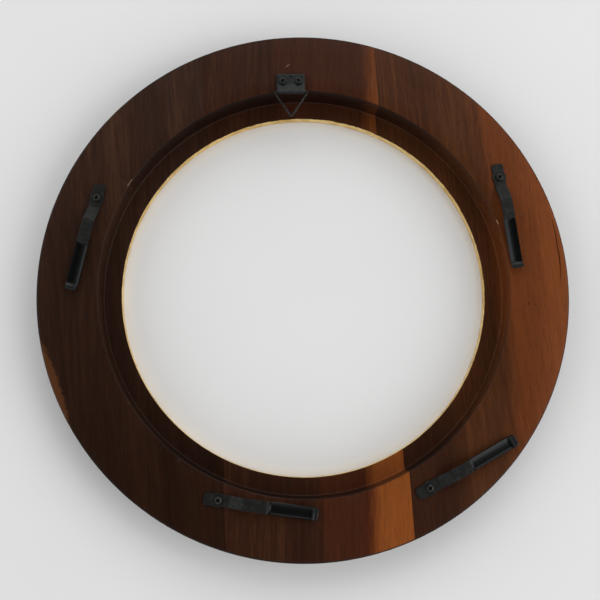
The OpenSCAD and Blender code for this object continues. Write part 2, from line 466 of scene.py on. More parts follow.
class Graph:
    """A material's node tree while it is being wired, with the few joins that finishes share."""

    def __init__(self, name: str) -> None:
        """Starts an empty material of that name."""
        self.material = bpy.data.materials.new(name)
        self.material.use_nodes = True
        self.tree = self.material.node_tree
        self.tree.nodes.clear()
        self.place = add(self.tree, "TexCoord").outputs["Object"]

    def math(self, kind: str, *values: object) -> Socket:
        """Joins numbers or sockets by one sum, and returns its result."""
        return add(self.tree, "Math", dict(enumerate(values)), operation=kind).outputs[0]

    def vector(self, kind: str, first: object, second: object) -> Socket:
        """Joins two vectors by one sum, and returns the new vector."""
        return add(self.tree, "VectorMath", {0: first, 1: second}, operation=kind).outputs[0]

    def length(self, where: Socket) -> Socket:
        """Returns a vector's length."""
        return add(self.tree, "VectorMath", {0: where}, operation="LENGTH").outputs[1]

    def split(self, where: Socket) -> list[Socket]:
        """Returns a vector's x, y and z."""
        return list(add(self.tree, "SeparateXYZ", {0: where}).outputs)

    def noise(self, where: Socket, size_mm: float, detail: float = 2.0,
              roughness: float = 0.5) -> Socket:
        """Returns a noise whose cells have a size in millimetres."""
        values = {"Vector": where, "Scale": per_metre(size_mm), "Detail": detail,
                  "Roughness": roughness}
        return add(self.tree, "TexNoise", values).outputs[0]

    def fibres(self, where: Socket, look: "Pattern") -> Socket:
        """Returns a noise that is drawn out along Y, as wood's fibres are."""
        drawn = self.squeeze(where, (1, look.squeeze, 1))
        return self.noise(drawn, look.size_mm, look.detail, look.roughness)

    def ease(self, value: object, low: float, high: float, bottom: float = 0.0,
             top: float = 1.0) -> Socket:
        """Maps a range onto another smoothly, clamped at both ends."""
        values = {0: value, 1: low, 2: high, 3: bottom, 4: top}
        node = add(self.tree, "MapRange", values, interpolation_type="SMOOTHSTEP")
        return node.outputs[0]

    def blend(self, share: object, first: object, second: object,
              kind: str = "MIX") -> Socket:
        """Blends two colours by a share, and returns the colour."""
        values = {0: share, 6: first, 7: second}
        return add(self.tree, "Mix", values, data_type="RGBA", blend_type=kind).outputs[2]

    def squeeze(self, where: Socket, scale: Sequence[float],
                turn: float = 0.0, centre: Sequence[float] = (0, 0, 0)) -> Socket:
        """Centres, turns round Z and scales a pattern's coordinates.

        Args:
            where: the coordinates, in metres.
            scale: the scale along each axis, where a small one stretches the pattern.
            turn: the pattern's turn round Z, in degrees.
            centre: the pattern's middle, in millimetres.

        Returns:
            The new coordinates.
        """
        moved = self.vector("SUBTRACT", where, Vector(centre) * MM)
        turned = add(self.tree, "Mapping", {0: moved, 2: (0, 0, math.radians(-turn))})
        return self.vector("MULTIPLY", turned.outputs[0], scale)

    def finish(self, bump: Socket | None, bump_mm: float,
               **sockets: object) -> Material:
        """Closes the material with a Principled shader.

        Args:
            bump: the height pattern, from 0 to 1, or None.
            bump_mm: the pattern's height in millimetres.
            **sockets: the shader's sockets, with spaces written as underscores.

        Returns:
            The material.
        """
        values = {key.replace("_", " "): value for key, value in sockets.items()}
        if bump is not None:
            relief = add(self.tree, "Bump", {"Height": bump, "Distance": bump_mm * MM,
                                             "Strength": 1.0})
            values["Normal"] = relief.outputs[0]
        shader = add(self.tree, "BsdfPrincipled", values)
        add(self.tree, "OutputMaterial", {0: shader.outputs[0]})
        return self.material


@dataclass(frozen=True)
class Pattern:
    """One of the noises in the grain: the width of its cells, and how they are drawn out."""

    size_mm: float
    squeeze: float
    detail: float
    roughness: float = 0.5


@dataclass(frozen=True)
class Zone:
    """A band of another tone in a board, bordered by a line across the ring; one band is painted
    shade.

    The border lies at x = at + lean * y + bow * y * y, in millimetres. The zone is to its right
    if side is 1 and to its left if side is -1. It blends in over its softness, in millimetres, and
    shows by its low share at the ring's foot and its high share at the ring's head.
    """

    at: float
    lean: float
    bow: float
    side: int
    colour: str
    softness: float
    low_share: float
    high_share: float


@dataclass(frozen=True)
class Blemish:
    """A small mark on the wood: a scratch, a dent's dark spot or a rubbed place, in mm; one longer
    mark is a painted sheen.
    """

    x: float
    y: float
    length: float
    width: float
    turn: float
    colour: str
    share: float


@dataclass(frozen=True)
class StainedWalnut:
    """Turned walnut, stained dark and rubbed with satin lacquer.

    The eye sees long fibres that wander a little, short dark pores, broad bands of tone, and
    end grain that drank more stain and went nearly black.
    """

    name: str
    dark: str
    middle: str
    light: str
    lean: float
    offset: Sequence[float]
    zones: Sequence[Zone] = ()
    blemishes: Sequence[Blemish] = ()
    wander: Pattern = Pattern(45.0, 0.3, 1.0)
    wander_by: float = 3.2
    band: Pattern = Pattern(17.0, 0.05, 2.0)
    band_share: float = 0.3
    streak: Pattern = Pattern(2.1, 0.035, 4.0, 0.65)
    streak_share: float = 0.37
    fibre: Pattern = Pattern(0.55, 0.05, 2.0, 0.7)
    fibre_share: float = 0.33
    pore: Pattern = Pattern(0.5, 0.07, 1.0)
    pore_from: float = 0.6
    pore_to: float = 0.72
    pore_share: float = 0.3
    pore_colour: str = "0d0604"
    tone_stops: Sequence[float] = (0.34, 0.5, 0.66)
    end_share: float = 0.72
    end_colour: str = "0b0605"
    # Painted shade on the ring's outside edge: how far in it reaches in mm, its share and its
    # colour.
    edge_shade_mm: tuple[float, float] = (1.3, 0.4)
    edge_shade_share: float = 0.7
    edge_shade_colour: str = "0c0706"
    polish: tuple[float, float] = (0.3, 0.44)
    sheen: float = 0.07
    bump_mm: float = 0.05
    ring_outer: float = 143.5
    ring_back: float = 22.0

    def build(self) -> Material:
        """Wires the material and returns it."""
        g = Graph(self.name)
        straight = g.squeeze(g.place, (1, 1, 1), self.lean, self.offset)
        slow = g.fibres(straight, self.wander)
        shift = g.math("MULTIPLY", g.math("SUBTRACT", slow, 0.5), 2 * self.wander_by * MM)
        aside = add(g.tree, "CombineXYZ", {0: shift}).outputs[0]
        grain = g.vector("ADD", straight, aside)
        streak = g.fibres(grain, self.streak)
        fibre = g.fibres(grain, self.fibre)
        pore = g.ease(g.fibres(grain, self.pore), self.pore_from, self.pore_to)
        tone = g.math("MULTIPLY", g.fibres(grain, self.band), self.band_share)
        tone = g.math("MULTIPLY_ADD", streak, self.streak_share, tone)
        tone = g.math("MULTIPLY_ADD", fibre, self.fibre_share, tone)
        stops = tuple(zip(self.tone_stops, (self.dark, self.middle, self.light)))
        colour = add(g.tree, "ValToRGB", {0: tone}, stops).outputs[0]
        colour = self.add_zones(g, colour, tone)
        colour = g.blend(g.math("MULTIPLY", pore, self.pore_share), colour,
                         linear(self.pore_colour))
        colour = self.add_end_grain_and_edge_shade(g, colour)
        colour = self.add_blemishes(g, colour)
        relief = g.math("MULTIPLY", g.math("SUBTRACT", fibre, pore), 0.5)
        rough = g.ease(g.math("ADD", streak, pore), 0.3, 1.2, *self.polish)
        return g.finish(relief, self.bump_mm, Base_Color=colour, Roughness=rough,
                        Specular_IOR_Level=self.sheen)

    def add_zones(self, g: Graph, colour: Socket,
                  tone: Socket) -> Socket:
        """Lays the board's bands of another tone, and any band of painted shade, over its colour.

        Args:
            g: the material being wired.
            colour: the wood's colour so far.
            tone: the grain's pattern, which shows through the bands.

        Returns:
            The new colour.
        """
        x, y, _ = g.split(g.place)
        reach = self.ring_outer * MM
        for zone in self.zones:
            bent = g.math("MULTIPLY", g.math("MULTIPLY", y, y), zone.bow / MM)
            line = g.math("ADD", g.math("MULTIPLY_ADD", y, zone.lean, zone.at * MM), bent)
            soft = zone.softness * MM
            past = g.math("MULTIPLY", g.math("SUBTRACT", x, line), float(zone.side))
            past = g.math("MULTIPLY_ADD", g.math("SUBTRACT", tone, 0.5), 2 * soft, past)
            inside = g.ease(past, -soft, soft)
            share = g.ease(y, -reach, reach, zone.low_share, zone.high_share)
            grainy = g.blend(g.ease(tone, 0.3, 0.7), linear(zone.colour), (1.6, 1.6, 1.6, 1),
                             "MULTIPLY")
            colour = g.blend(g.math("MULTIPLY", inside, share), colour, grainy)
        return colour

    def add_end_grain_and_edge_shade(self, g: Graph, colour: Socket) -> Socket:
        """Darkens end grain, as stain does, and paints shade on the outside edge.

        Args:
            g: the material being wired.
            colour: the wood's colour so far.

        Returns:
            The new colour.
        """
        along_grain = g.split(add(g.tree, "NewGeometry").outputs["Normal"])[1]
        end = g.ease(g.math("ABSOLUTE", along_grain), 0.25, 1.0)
        colour = g.blend(g.math("MULTIPLY", end, self.end_share), colour, linear(self.end_colour))
        # Painted shade: the outermost band of the ring, by radius, is darkened as if it lay in
        # shade.
        radius = g.length(g.vector("MULTIPLY", g.place, (1, 1, 0)))
        edge = g.ease(radius, *((self.ring_outer - inside) * MM for inside in self.edge_shade_mm))
        return g.blend(g.math("MULTIPLY", edge, self.edge_shade_share), colour,
                       linear(self.edge_shade_colour))

    def add_blemishes(self, g: Graph, colour: Socket) -> Socket:
        """Draws the scratches, spots and painted sheen, and returns the new colour."""
        ragged = g.noise(g.place, 0.9, 2.0)
        height = g.split(g.place)[2]
        on_top = g.ease(height, (self.ring_back - 1.0) * MM, (self.ring_back - 0.4) * MM)
        for mark in self.blemishes:
            scale = (2 / (mark.length * MM), 2 / (mark.width * MM), 0)
            local = g.squeeze(g.place, scale, mark.turn, (mark.x, mark.y, 0))
            far = g.math("ADD", g.length(local), g.math("SUBTRACT", ragged, 0.5))
            share = g.math("MULTIPLY", g.ease(far, 0.7, 1.1, mark.share, 0.0), on_top)
            colour = g.blend(share, colour, linear(mark.colour))
        return colour


@dataclass(frozen=True)
class GoldPaint:
    """Gold paint brushed over gesso: warm, softly metallic, uneven, with brown where it is thin."""

    name: str = "gold_paint_on_gesso"
    bright: str = "e6c784"
    deep: str = "c19a4e"
    bare: str = "4a2c14"

    def build(self) -> Material:
        """Wires the material and returns it."""
        g = Graph(self.name)
        patch = g.noise(g.place, 7.0, 3.0, 0.6)
        speck = g.noise(g.place, 0.8, 2.0)
        colour = add(g.tree, "ValToRGB", {0: patch}, ((0.3, self.deep), (0.62, self.bright)))
        worn = g.ease(g.math("ADD", g.math("MULTIPLY", patch, 0.3), speck), 0.86, 0.95)
        base = g.blend(worn, colour.outputs[0], linear(self.bare))
        rough = g.ease(speck, 0.3, 0.7, 0.34, 0.52)
        return g.finish(speck, 0.05, Base_Color=base, Roughness=rough, Metallic=0.45)


@dataclass(frozen=True)
class BlackSpringSteel:
    """Spring steel, blued black: matt and charcoal at the screw, glossy black in the trough.

    The share of gloss follows the distance from the raised flat's end, which the piece carries.
    """

    name: str = "blued_spring_steel"
    matt: str = "161615"
    rubbed: str = "292927"
    gloss: str = "151617"
    gloss_from: float = 0.3
    gloss_to: float = 1.3

    def build(self) -> Material:
        """Wires the material and returns it."""
        g = Graph(self.name)
        along = add(g.tree, "Attribute", attribute_name="along").outputs["Fac"]
        mottle = g.noise(g.place, 3.0, 4.0, 0.65)
        scuff = g.noise(g.squeeze(g.place, (1, 1, 0.2)), 0.5, 2.0)
        shine = g.ease(along, self.gloss_from, self.gloss_to)
        colour = g.blend(g.ease(mottle, 0.42, 0.8), linear(self.matt), linear(self.rubbed))
        colour = g.blend(shine, colour, linear(self.gloss))
        rough = g.math("ADD", g.ease(shine, 0.0, 1.0, 0.5, 0.2), g.ease(scuff, 0.3, 0.7, 0, 0.07))
        return g.finish(g.math("MULTIPLY", g.math("ADD", mottle, scuff), 0.5), 0.03,
                        Base_Color=colour, Roughness=rough, Metallic=0.75)


@dataclass(frozen=True)
class DarkSteel:
    """Small steel parts with a dark finish: a mottled oxide coat, rubbed brighter in places, and
    painted shade in the screws' cross recesses.
    """

    name: str
    coat: str
    rubbed: str
    roughness: float
    grain_mm: float = 1.4
    bump_mm: float = 0.02

    def build(self) -> Material:
        """Wires the material and returns it."""
        g = Graph(self.name)
        mottle = g.noise(g.place, self.grain_mm, 4.0, 0.65)
        fine = g.noise(g.place, self.grain_mm / 5, 2.0)
        colour = g.blend(g.ease(mottle, 0.4, 0.75), linear(self.coat), linear(self.rubbed))
        # Painted shade: a screw's marked cross recess is darkened nearly to black, as shade falls
        # in it.
        recess = add(g.tree, "Attribute", attribute_name="recess").outputs["Fac"]
        colour = g.blend(g.ease(recess, 0.0, 0.6, 0.0, 0.9), colour, linear("050505"))
        rough = g.ease(fine, 0.3, 0.7, self.roughness - 0.06, self.roughness + 0.08)
        return g.finish(fine, self.bump_mm, Base_Color=colour, Roughness=rough, Metallic=0.8)


@dataclass(frozen=True)
class PaperFloor:
    """Matt off-white card under the object, with a very faint unevenness."""

    name: str = "matt_white_card"
    pale: str = "d6d6d6"
    shade: str = "d2d2d2"

    def build(self) -> Material:
        """Wires the material and returns it."""
        g = Graph(self.name)
        cloud = g.noise(g.place, 90.0, 2.0)
        fine = g.noise(g.place, 0.7, 2.0)
        colour = g.blend(cloud, linear(self.shade), linear(self.pale))
        return g.finish(fine, 0.02, Base_Color=colour, Roughness=0.75, Specular_IOR_Level=0.3)


# ---- wooden ring ----


class Board(Enum):
    """The ring's four pieces of board, by the side of the ring."""

    LEFT = "left"
    TOP = "top"
    RIGHT = "right"
    BOTTOM = "bottom"


@dataclass
class WoodenRing:
    """The turned ring: glued up from boards, then recessed for the plate and moulded in front."""

    sight_r: float = 101.0
    recess_r: float = 111.0
    outer_r: float = 143.5
    back_z: float = 22.0
    floor_z: float = 6.5
    board_w: float = 97.2
    board_shift: float = -1.1
    board_turn: float = -0.5
    coat_t: float = 0.2
    gold_low: float = 4.5
    gold_top: float = 5.75
    sight_round: float = 0.3
    sight_step: float = 0.04
    bead_w: float = 4.5
    bead_r: float = 1.6
    bead_in_r: float = 0.9
    flat_w: float = 0.8
    cove_w: float = 22.0
    cove_depth: float = 4.2
    front_r: float = 8.0
    back_r: float = 1.5
    fillet_r: float = 1.0
    arris_r: float = 0.45
    inner_land: float = 8.0
    outer_land: float = 10.0
    steps: int = 1440
    seed: int = 11
    wear_rounds: int = 10
    wear_spots: int = 5
    wear_reach: float = 1.1
    wear_width: tuple[float, float] = (0.03, 0.16)
    wear_depth: tuple[float, float] = (0.02, 0.12)
    # azimuth in degrees, then length and depth in millimetres
    chips: Sequence[tuple[float, float, float]] = (
        (144.9, 2.6, 0.5), (15.2, 1.9, 0.45), (119.0, 1.3, 0.3), (203.0, 1.2, 0.3),
        (331.0, 1.4, 0.35), (75.0, 1.1, 0.3))
    # x, y and width along the crack, in millimetres
    crack: Sequence[tuple[float, float, float]] = (
        (138.2, 29.0, 0.12), (138.7, 24.0, 0.4), (139.2, 19.0, 0.55), (139.1, 14.0, 0.5),
        (139.7, 9.0, 0.6), (139.6, 4.0, 0.5), (139.2, -1.0, 0.35), (139.0, -6.0, 0.12))
    crack_depth: float = 3.0
    boards: dict[Board, Piece] = field(default_factory=dict)

    def section(self) -> list[Point]:
        """Returns the ring's closed section: radius and height in millimetres."""
        bead_end = self.sight_r + self.bead_w
        cove_start = bead_end + self.flat_w
        cove_end = cove_start + self.cove_w
        cove_r = (self.cove_w ** 2 / 4 + self.cove_depth ** 2) / (2 * self.cove_depth)
        cove_mid = (cove_start + self.cove_w / 2, self.cove_depth - cove_r)
        half = math.degrees(math.asin(self.cove_w / 2 / cove_r))
        core_in = self.sight_r + self.coat_t
        core_out = bead_end - self.coat_t
        arris = self.recess_r + self.arris_r
        top = self.back_z
        out = arc((self.recess_r - self.fillet_r, self.floor_z + self.fillet_r), self.fillet_r,
                  -90, 0, 6)
        out += arc((arris, top - self.arris_r), self.arris_r, 180, 90, 4)
        out += [(self.recess_r + self.inner_land, top), (self.outer_r - self.outer_land, top)]
        out += arc((self.outer_r - self.back_r, top - self.back_r), self.back_r, 90, 0, 7)
        out += arc((self.outer_r - self.front_r, self.front_r), self.front_r, 0, -90, 10)
        out += arc(cove_mid, cove_r, 90 - half, 90 + half, 16)
        half_lip = self.floor_z / 2
        out += [(bead_end, 0), (bead_end, half_lip), (core_out, half_lip),
                (core_out, self.bead_r), (core_out - self.bead_r + self.coat_t, self.coat_t),
                (core_in + self.bead_in_r - self.coat_t, self.coat_t),
                (core_in, self.bead_in_r), (core_in, self.gold_low),
                (self.sight_r + self.sight_step, self.gold_low + self.coat_t)]
        edge_r = self.sight_r + self.sight_step + self.sight_round
        out += arc((edge_r, self.floor_z - self.sight_round), self.sight_round, 180, 90, 4)
        return out

    def build(self) -> None:
        """Turns the whole ring, wears its inner arris and splits it at the glue joints."""
        ring = lathe("turned_ring", self.section(), self.steps, closed=True)
        self.wear_arris(ring)
        turn = Matrix.Rotation(math.radians(self.board_turn), 3, "Z")
        left, right = (turn @ Vector((self.board_shift + half, 0, 0)) * MM
                       for half in (-self.board_w / 2, self.board_w / 2))
        ahead, up = turn @ Vector((1, 0, 0)), turn @ Vector((0, 1, 0))
        middle = [(right, ahead), (left, -ahead)]
        cuts = {
            Board.LEFT: [(left, ahead)],
            Board.RIGHT: [(right, -ahead)],
            Board.TOP: middle + [(Vector(), -up)],
            Board.BOTTOM: middle + [(Vector(), up)],
        }
        for side, planes in cuts.items():
            board = copy_of(ring, f"walnut_board_{side.value}")
            edit(board)
            for spot, away in planes:
                pick_all()
                bpy.ops.mesh.bisect(plane_co=spot, plane_no=away, use_fill=True,
                                    clear_outer=True, clear_inner=False, threshold=MERGE)
            close_up(board)
            self.boards[side] = board
        clear_selection()
        bpy.data.objects.remove(ring)
        cut(self.boards[Board.RIGHT], self.crack_cutter())
        for board in self.boards.values():
            smooth(board)

    def wear_arris(self, ring: Piece) -> None:
        """Makes the recess's upper edge a little uneven and chips it in a few places."""
        draw = random.Random(self.seed)
        low = (self.back_z - self.arris_r * self.wear_reach) * MM
        far = (self.recess_r + self.arris_r * self.wear_reach) * MM
        edit(ring)
        for _ in range(self.wear_rounds):
            middle = [draw.uniform(0, 2 * math.pi) for _ in range(self.wear_spots)]
            width = draw.uniform(*self.wear_width)

            def near(co: Vector) -> bool:
                """Says whether a vertex is on the arris and in one of the worn stretches."""
                if co.z < low or co.xy.length > far:
                    return False
                angle = math.atan2(co.y, co.x)
                return any(abs(math.remainder(angle - m, 2 * math.pi)) < width for m in middle)

            if pick(ring, near):
                grow = 1 + draw.uniform(*self.wear_depth) / self.recess_r
                bpy.ops.transform.resize(value=(grow, grow, 1), center_override=(0, 0, 0))
        for azimuth, size, depth in self.chips:
            angle = math.radians(azimuth)
            spot = Vector((math.cos(angle), math.sin(angle), 0)) * self.recess_r * MM
            spot.z = self.back_z * MM
            for share in (1.0, 0.6):
                if pick(ring, lambda co: (co - spot).length < size / 2 * share * MM):
                    away = spot.normalized() * depth / 2 * MM
                    away.z = -depth / 2 * MM
                    bpy.ops.transform.translate(value=away)
        bpy.ops.object.mode_set(mode="OBJECT")

    def crack_cutter(self) -> Piece:
        """Draws the drying crack near the outside edge as a thin bent wedge, and returns it."""
        first = self.crack[0]
        top = self.back_z + 0.5
        piece = start_vertex("crack", Vector((first[0] - first[2] / 2, first[1], top)) * MM)
        draw_point(Vector((first[2], 0, 0)) * MM)
        pick_all()
        for before, after in zip(self.crack, self.crack[1:]):
            draw_edge(Vector((after[0] - before[0], after[1] - before[1], 0)) * MM)
            middle = Vector((after[0], after[1], top)) * MM
            bpy.ops.transform.resize(value=(after[2] / before[2], 1, 1), center_override=middle)
        pick_all()
        draw_edge(Vector((0, 0, -self.crack_depth)) * MM)
        close_up(piece)
        return piece

    def dress(self, finishes: dict[Board, StainedWalnut]) -> None:
        """Gives each board its own walnut and hands it to the frame."""
        for side, board in self.boards.items():
            dress(board, finishes[side].build(), "ring_frame",
                  [f"board_{side.value}"])


@dataclass
class SightGilding:
    """The gilded coat on the bead, which ends raggedly below the recess floor's edge."""

    ring: WoodenRing
    skin: float = 0.05
    ragged: float = 0.4
    tuck: float = 0.1
    foot_gap: float = 0.02
    levels: int = 9
    # waves round the opening, and each one's share in the border's wander
    waves: Sequence[tuple[int, float]] = ((90, 0.35), (260, 0.4), (600, 0.35))
    steps: int = 1440
    seed: int = 5

    def section(self) -> list[Point]:
        """Returns the coat's closed section: radius and height in millimetres."""
        ring = self.ring
        inner = ring.sight_r
        outer = inner + ring.bead_w
        near, far = ring.bead_in_r, ring.bead_r
        deep = ring.coat_t + self.skin
        thin = ring.sight_step + self.skin
        end = ring.floor_z / 2 - self.foot_gap
        out = [(inner + deep, ring.gold_low - self.tuck), (inner + thin, ring.gold_low + deep),
               (inner + thin, ring.gold_top), (inner + thin / 3, ring.gold_top + self.skin / 2),
               (inner, ring.gold_top - self.skin)]
        out += arc((inner + near, near), near, 180, 270, 8)
        out += arc((outer - far, far), far, 270, 360, 8)
        out += [(outer, end), (outer - deep, end), (outer - deep, far),
                (outer - far, deep), (inner + near, deep), (inner + deep, near)]
        return out

    def build(self) -> Piece:
        """Turns the coat, tears its upper border and returns the piece."""
        piece = lathe("gilded_sight_edge", self.section(), self.steps, closed=True)
        draw = random.Random(self.seed)
        low = (self.ring.gold_top - 2 * self.skin) * MM
        waves = [(share, [draw.gauss(0, 1) for _ in range(count)]) for count, share in self.waves]

        def raggedness(angle: float) -> float:
            """Gives the border's wander at an angle, from about -1 to 1."""
            total = 0.0
            for share, values in waves:
                total += share * values[int(angle / (2 * math.pi) * len(values)) % len(values)]
            return max(-1.0, min(1.0, total))

        edit(piece)
        half_step = 1 / (self.levels - 1)
        for level in range(self.levels):
            want = -1 + 2 * level * half_step

            def at_level(co: Vector) -> bool:
                """Says whether a border vertex belongs to this step of the wander."""
                if co.z < low:
                    return False
                value = raggedness(math.atan2(co.y, co.x) % (2 * math.pi))
                return abs(value - want) <= half_step

            if pick(piece, at_level):
                bpy.ops.transform.translate(value=(0, 0, want * self.ragged * MM))
        close_up(piece)
        smooth(piece)
        return piece

    def dress(self, piece: Piece, finish: GoldPaint) -> None:
        """Gilds the piece and hands it to the frame."""
        dress(piece, finish.build(), "ring_frame", ["sight_gilding"])


# ---- screws ----


@dataclass
class CrossScrew:
    """Round-headed wood screw with a cross recess, drawn with its head's underside on Z = 0."""

    shank_r: float = 1.25
    head_r: float = 2.05
    head_h: float = 1.6
    cross_l: float = 2.3
    cross_w: float = 0.6
    cross_depth: float = 1.2
    cross_foot: float = 0.7
    point: float = 2.5
    tip_r: float = 0.3
    rim: float = 0.2
    shoulder: float = 0.75
    shoulder_angle: float = 68.0
    crown: float = 0.25
    cutter_h: float = 2.2
    margin: float = 0.1
    steps: int = 48

    def build(self, name: str, length: float) -> Piece:
        """Turns one screw and cuts its cross.

        Args:
            name: the piece's name.
            length: from the head's underside to the tip, in millimetres.

        Returns:
            The screw, standing on the origin.
        """
        outline = [(0, -length), (self.tip_r, -length), (self.shank_r, self.point - length),
                   (self.shank_r, 0), (self.head_r - self.rim, 0), (self.head_r, self.rim / 2)]
        side_h = self.head_h - self.crown - self.shoulder
        outline += arc((self.head_r - self.shoulder, side_h), self.shoulder, 0,
                       self.shoulder_angle, 6)
        crown_r = outline[-1][0]
        for share in (0.75, 0.5, 0.25, 0.0):
            outline.append((crown_r * share, self.head_h - self.crown * share ** 2))
        piece = lathe(name, outline, self.steps, closed=False)
        # The cutter narrows downwards and has the cross's true size where it meets the head's top
        share = self.cross_foot + (1 - self.cross_foot) * self.cross_depth / self.cutter_h
        for turn in (0, 90):
            size = Vector((self.cross_l / share, self.cross_w / share, self.cutter_h))
            at = Vector((0, 0, self.head_h - self.cross_depth + self.cutter_h / 2))
            cut(piece, box_cutter(size, at, turn, foot=self.cross_foot))
        # Marks the cross's inside, which the steel's material darkens as painted shade.
        mark(piece, "recess", self.shade_in_cross)
        smooth(piece, 40)
        return piece

    def shade_in_cross(self, co: Vector) -> float:
        """Returns 1 for a place down in the cross, where the steel gets painted shade, and 0 for
        any other.
        """
        top = self.head_h - self.crown - self.margin
        inside = co.xy.length < self.cross_l * 0.6 * MM
        return float(inside and self.margin * MM < co.z < top * MM)


# ---- spring clips ----


class Corner(Enum):
    """The four clips, with their order in the lists of places."""

    UPPER_LEFT = 0
    UPPER_RIGHT = 1
    LOWER_LEFT = 2
    LOWER_RIGHT = 3


@dataclass
class SpringClips:
    """The four bent spring-steel clips that hold the plate, each on one screw."""

    ring: WoodenRing
    steel_t: float = 0.8
    width: float = 6.4
    boss_r: float = 3.8
    tail: float = 7.6
    play: float = 0.1
    ramp_start: float = 5.5
    flat_start: float = 13.0
    flat_h: float = 4.6
    step_h: float = 0.9
    foot_at: float = 47.8
    foot_h: float = 1.7
    curl_r: float = 4.2
    curl_angle: float = 65.0
    corner_r: float = 1.2
    trough: float = 0.55
    hole_r: float = 1.33
    bend_radii: Sequence[float] = (2.5, 2.0, 0.5, 0.5)
    trough_gap: float = 0.6
    trough_power: float = 0.6
    trough_lift: float = 0.45
    edge: float = 0.16
    longest: float = 0.7
    columns: int = 12
    flat_ends: Sequence[float] = (25.3, 23.2, 25.3, 23.2)
    azimuths: Sequence[float] = (152.6, 25.9, 243.6, 297.2)
    insets: Sequence[float] = (12.0, 12.8, 9.1, 12.6)
    headings: Sequence[float] = (252.6, 274.7, 347.7, 24.4)
    cross_turns: Sequence[float] = (5.0, 25.0, 40.0, 20.0)
    screw_depth: float = 9.0

    def line(self, flat_end: float) -> list[Point]:
        """Returns a clip's middle line: distance from the screw and height over the wood."""
        low = self.play + self.steel_t / 2
        curl = [(self.foot_at + self.curl_r * math.sin(math.radians(a)),
                 self.foot_h + self.curl_r * (1 - math.cos(math.radians(a))))
                for a in (self.curl_angle * k / 8 for k in range(9))]
        corners = [(-self.tail, low), (self.ramp_start, low), (self.flat_start, self.flat_h),
                   (flat_end, self.flat_h),
                   (flat_end + self.step_h, self.flat_h - self.step_h), curl[0]]
        return finer(rounded_line(corners, self.bend_radii, 5) + curl[1:], self.longest)

    def half_width(self, x: float, end: float) -> float:
        """Returns half the strip's width at a distance from the screw."""
        half = self.width / 2
        if abs(x) < self.boss_r:
            half = max(half, math.sqrt(self.boss_r ** 2 - x ** 2))
        short = max(-self.tail + self.corner_r - x, x - (end - self.corner_r), 0)
        if short > 0:
            half -= self.corner_r - math.sqrt(max(self.corner_r ** 2 - short ** 2, 0))
        return half

    def shape_one(self, name: str, flat_end: float) -> Piece:
        """Bends one clip along X from its screw, with its trough, boss and hole.

        Args:
            name: the piece's name.
            flat_end: distance from the screw to the end of the raised flat, in millimetres.

        Returns:
            The clip, with its screw's place on the origin.
        """
        line = self.line(flat_end)
        piece = bend_sheet(name, line, self.width, self.columns)
        end = line[-1][0]
        edit(piece)
        for x, z in line:
            grow = self.half_width(x, end) / (self.width / 2)
            if abs(grow - 1) > 1e-4:
                pick(piece, lambda co: abs(co.x / MM - x) < 1e-3 and abs(co.z / MM - z) < 1e-3)
                bpy.ops.transform.resize(value=(1, grow, 1), center_override=(0, 0, 0))
        trough_from = flat_end + self.step_h + self.trough_gap
        half = self.width / 2
        for column in range(self.columns + 1):
            y = -half + self.width * column / self.columns
            round_it = max(math.cos(y / half * math.pi / 2), 0.0) ** self.trough_power
            drop = self.trough * (round_it - self.trough_lift)

            def in_trough(co: Vector) -> bool:
                """Says whether a vertex is in this column of the trough."""
                return co.x / MM > trough_from and abs(co.y / MM - y) < half / self.columns * 0.9

            if pick(piece, in_trough):
                bpy.ops.transform.translate(value=(0, 0, -drop * MM))
        bpy.ops.object.mode_set(mode="OBJECT")
        thicken(piece, self.steel_t, self.edge)
        cut(piece, pin_cutter(self.hole_r, 10 * self.steel_t, Vector((0, 0, 0))))
        mark(piece, "along", lambda co: co.x / MM - flat_end)
        smooth(piece, 35)
        return piece

    def build(self, screws: CrossScrew, clip_steel: BlackSpringSteel,
              screw_steel: DarkSteel) -> None:
        """Makes the four clips and their screws and hands them to the frame."""
        steel = clip_steel.build()
        head = screw_steel.build()
        head_z = self.ring.back_z + 2 * self.play + self.steel_t
        length = head_z - self.ring.back_z + self.screw_depth
        for corner in Corner:
            i = corner.value
            side = corner.name.lower()
            angle = math.radians(self.azimuths[i])
            far = self.ring.recess_r + self.insets[i]
            spot = Vector((far * math.cos(angle), far * math.sin(angle), 0)) * MM
            clip = self.shape_one(f"spring_clip_{side}", self.flat_ends[i])
            place(clip, spot + Vector((0, 0, self.ring.back_z * MM)), self.headings[i])
            dress(clip, steel, f"clip_{side}", [f"clip_{side}"])
            screw = screws.build(f"cross_screw_{side}", length)
            place(screw, spot + Vector((0, 0, head_z * MM)), self.headings[i] + self.cross_turns[i])
            dress(screw, head, "ring_frame", [f"clip_screw_{side}"])


# ---- hanger ----


